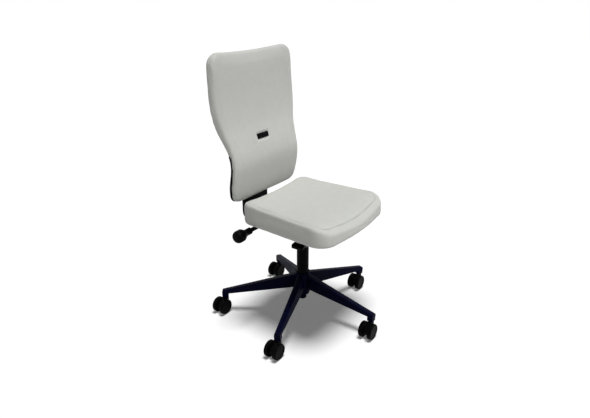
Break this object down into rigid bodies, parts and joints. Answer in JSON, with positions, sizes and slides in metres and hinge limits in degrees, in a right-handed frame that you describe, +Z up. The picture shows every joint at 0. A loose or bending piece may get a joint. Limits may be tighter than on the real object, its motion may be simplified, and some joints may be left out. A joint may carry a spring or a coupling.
{
  "type": "office swivel chair",
  "caption": "Armless office chair: padded seat and tall waisted back on a synchro tilt, gas column and five-star base with twin-wheel casters.",
  "frame": {"origin": "on the floor, on the column axis", "axes": "+Z up; the sitter faces -Y and the sitter's right hand is at -X"},
  "size_m": [0.7014, 0.654, 1.078],
  "materials": {
    "upholstery": "woven, pale grey",
    "shell": "fine-grained black",
    "tag": "smooth black",
    "base": "smooth blue-black",
    "caster": "black nylon",
    "column": "black powder coat",
    "cylinder": "satin black",
    "mechanism": "black paint",
    "carrier": "glass-filled nylon, black",
    "grip": "satin black",
    "steel": "zinc plated",
    "rod": "hard chromed",
    "bush": "acetal",
    "pan": "moulded black"
  },
  "bodies": {
    "base": {"star_base": "base", "column_tube": "column", "column_guide_bush": "bush", "column_end_cap": "base", "bearing_race_lower": "steel", "caster_grip_rings": "steel"},
    "spindle": {"piston_rod": "rod", "bearing_race_upper": "steel", "rod_clip": "steel"},
    "mechanism": {"gas_cylinder": "cylinder", "mechanism_housing": "mechanism", "main_shaft": "steel", "front_shaft": "steel", "shaft_clips": "steel", "lever_pin": "steel", "tension_spring": "steel"},
    "seat": {"seat_plate": "mechanism", "seat_pan": "pan", "seat_cushion": "upholstery", "seat_screws": "steel", "link_pin": "steel"},
    "back": {"back_carrier": "carrier", "back_shell": "shell", "back_rear_pad": "upholstery", "back_cushion": "upholstery", "back_plate": "tag", "back_screws": "steel"},
    "lever": {"lift_lever": "mechanism", "lever_paddle": "grip"},
    "release": {"release_pin": "steel"},
    "knob": {"tension_shaft": "mechanism", "tension_collar": "grip", "tension_knob": "grip"},
    "nut": {"tension_nut": "steel"},
    "caster_1": {"caster_stem_1": "steel", "caster_body_1": "caster", "caster_axle_1": "steel"},
    "wheel_front_1": {"caster_wheel_front_1": "caster"},
    "wheel_rear_1": {"caster_wheel_rear_1": "caster"},
    "caster_2": {"caster_stem_2": "steel", "caster_body_2": "caster", "caster_axle_2": "steel"},
    "wheel_front_2": {"caster_wheel_front_2": "caster"},
    "wheel_rear_2": {"caster_wheel_rear_2": "caster"},
    "caster_3": {"caster_stem_3": "steel", "caster_body_3": "caster", "caster_axle_3": "steel"},
    "wheel_front_3": {"caster_wheel_front_3": "caster"},
    "wheel_rear_3": {"caster_wheel_rear_3": "caster"},
    "caster_4": {"caster_stem_4": "steel", "caster_body_4": "caster", "caster_axle_4": "steel"},
    "wheel_front_4": {"caster_wheel_front_4": "caster"},
    "wheel_rear_4": {"caster_wheel_rear_4": "caster"},
    "caster_5": {"caster_stem_5": "steel", "caster_body_5": "caster", "caster_axle_5": "steel"},
    "wheel_front_5": {"caster_wheel_front_5": "caster"},
    "wheel_rear_5": {"caster_wheel_rear_5": "caster"}
  },
  "joints": [
    {"name": "seat_swivel", "type": "hinge", "parent": "base", "child": "spindle", "pos_m": [0, 0, 0.0911], "axis": [0, 0, 1], "continuous": true},
    {"name": "seat_lift", "type": "slide", "parent": "spindle", "child": "mechanism", "axis": [0, 0, 1], "range_m": [-0.058, 0.062]},
    {"name": "back_recline", "type": "hinge", "parent": "mechanism", "child": "back", "pos_m": [0, 0.05, 0.392], "axis": [-1, 0, 0], "range_deg": [0, 20], "stiffness_Nm_per_rad": 100, "springref_deg": -20.05, "deforming": ["tension_spring"]},
    {"name": "seat_tilt", "type": "hinge", "parent": "mechanism", "child": "seat", "pos_m": [0, -0.098, 0.411], "axis": [-1, 0, 0], "range_deg": [0, 8]},
    {"name": "lever_lift", "type": "hinge", "parent": "mechanism", "child": "lever", "pos_m": [-0.043, -0.072, 0.4103], "axis": [0, 1, 0], "range_deg": [0, 5], "stiffness_Nm_per_rad": 12, "springref_deg": -3.44},
    {"name": "release_press", "type": "slide", "parent": "mechanism", "child": "release", "axis": [0, 0, -1], "range_m": [0, 0.004]},
    {"name": "knob_turn", "type": "hinge", "parent": "back", "child": "knob", "pos_m": [-0.247, 0.13, 0.404], "axis": [1, 0, 0], "range_deg": [0, 1440]},
    {"name": "nut_travel", "type": "slide", "parent": "back", "child": "nut", "axis": [1, 0, 0], "range_m": [0, 0.01]},
    {"name": "caster_swivel_1", "type": "hinge", "parent": "base", "child": "caster_1", "pos_m": [0, -0.33, 0.08], "axis": [0, 0, 1], "continuous": true},
    {"name": "caster_swivel_2", "type": "hinge", "parent": "base", "child": "caster_2", "pos_m": [0.31385, -0.10198, 0.08], "axis": [0, 0, 1], "continuous": true},
    {"name": "caster_swivel_3", "type": "hinge", "parent": "base", "child": "caster_3", "pos_m": [0.19397, 0.26698, 0.08], "axis": [0, 0, 1], "continuous": true},
    {"name": "caster_swivel_4", "type": "hinge", "parent": "base", "child": "caster_4", "pos_m": [-0.19397, 0.26698, 0.08], "axis": [0, 0, 1], "continuous": true},
    {"name": "caster_swivel_5", "type": "hinge", "parent": "base", "child": "caster_5", "pos_m": [-0.31385, -0.10198, 0.08], "axis": [0, 0, 1], "continuous": true},
    {"name": "wheel_front_spin_1", "type": "hinge", "parent": "caster_1", "child": "wheel_front_1", "pos_m": [-0.025, -0.33, 0.0325], "axis": [0, 1, 0], "continuous": true},
    {"name": "wheel_rear_spin_1", "type": "hinge", "parent": "caster_1", "child": "wheel_rear_1", "pos_m": [-0.025, -0.33, 0.0325], "axis": [0, 1, 0], "continuous": true},
    {"name": "wheel_front_spin_2", "type": "hinge", "parent": "caster_2", "child": "wheel_front_2", "pos_m": [0.28885, -0.10198, 0.0325], "axis": [0, 1, 0], "continuous": true},
    {"name": "wheel_rear_spin_2", "type": "hinge", "parent": "caster_2", "child": "wheel_rear_2", "pos_m": [0.28885, -0.10198, 0.0325], "axis": [0, 1, 0], "continuous": true},
    {"name": "wheel_front_spin_3", "type": "hinge", "parent": "caster_3", "child": "wheel_front_3", "pos_m": [0.16897, 0.26698, 0.0325], "axis": [0, 1, 0], "continuous": true},
    {"name": "wheel_rear_spin_3", "type": "hinge", "parent": "caster_3", "child": "wheel_rear_3", "pos_m": [0.16897, 0.26698, 0.0325], "axis": [0, 1, 0], "continuous": true},
    {"name": "wheel_front_spin_4", "type": "hinge", "parent": "caster_4", "child": "wheel_front_4", "pos_m": [-0.21897, 0.26698, 0.0325], "axis": [0, 1, 0], "continuous": true},
    {"name": "wheel_rear_spin_4", "type": "hinge", "parent": "caster_4", "child": "wheel_rear_4", "pos_m": [-0.21897, 0.26698, 0.0325], "axis": [0, 1, 0], "continuous": true},
    {"name": "wheel_front_spin_5", "type": "hinge", "parent": "caster_5", "child": "wheel_front_5", "pos_m": [-0.33885, -0.10198, 0.0325], "axis": [0, 1, 0], "continuous": true},
    {"name": "wheel_rear_spin_5", "type": "hinge", "parent": "caster_5", "child": "wheel_rear_5", "pos_m": [-0.33885, -0.10198, 0.0325], "axis": [0, 1, 0], "continuous": true}
  ],
  "couplings": [
    {"joint": "seat_tilt", "follows": "back_recline", "ratio": 0.4},
    {"joint": "release_press", "follows": "lever_lift", "m_per_rad": 0.0447},
    {"joint": "nut_travel", "follows": "knob_turn", "m_per_rad": 0.00039789}
  ]
}
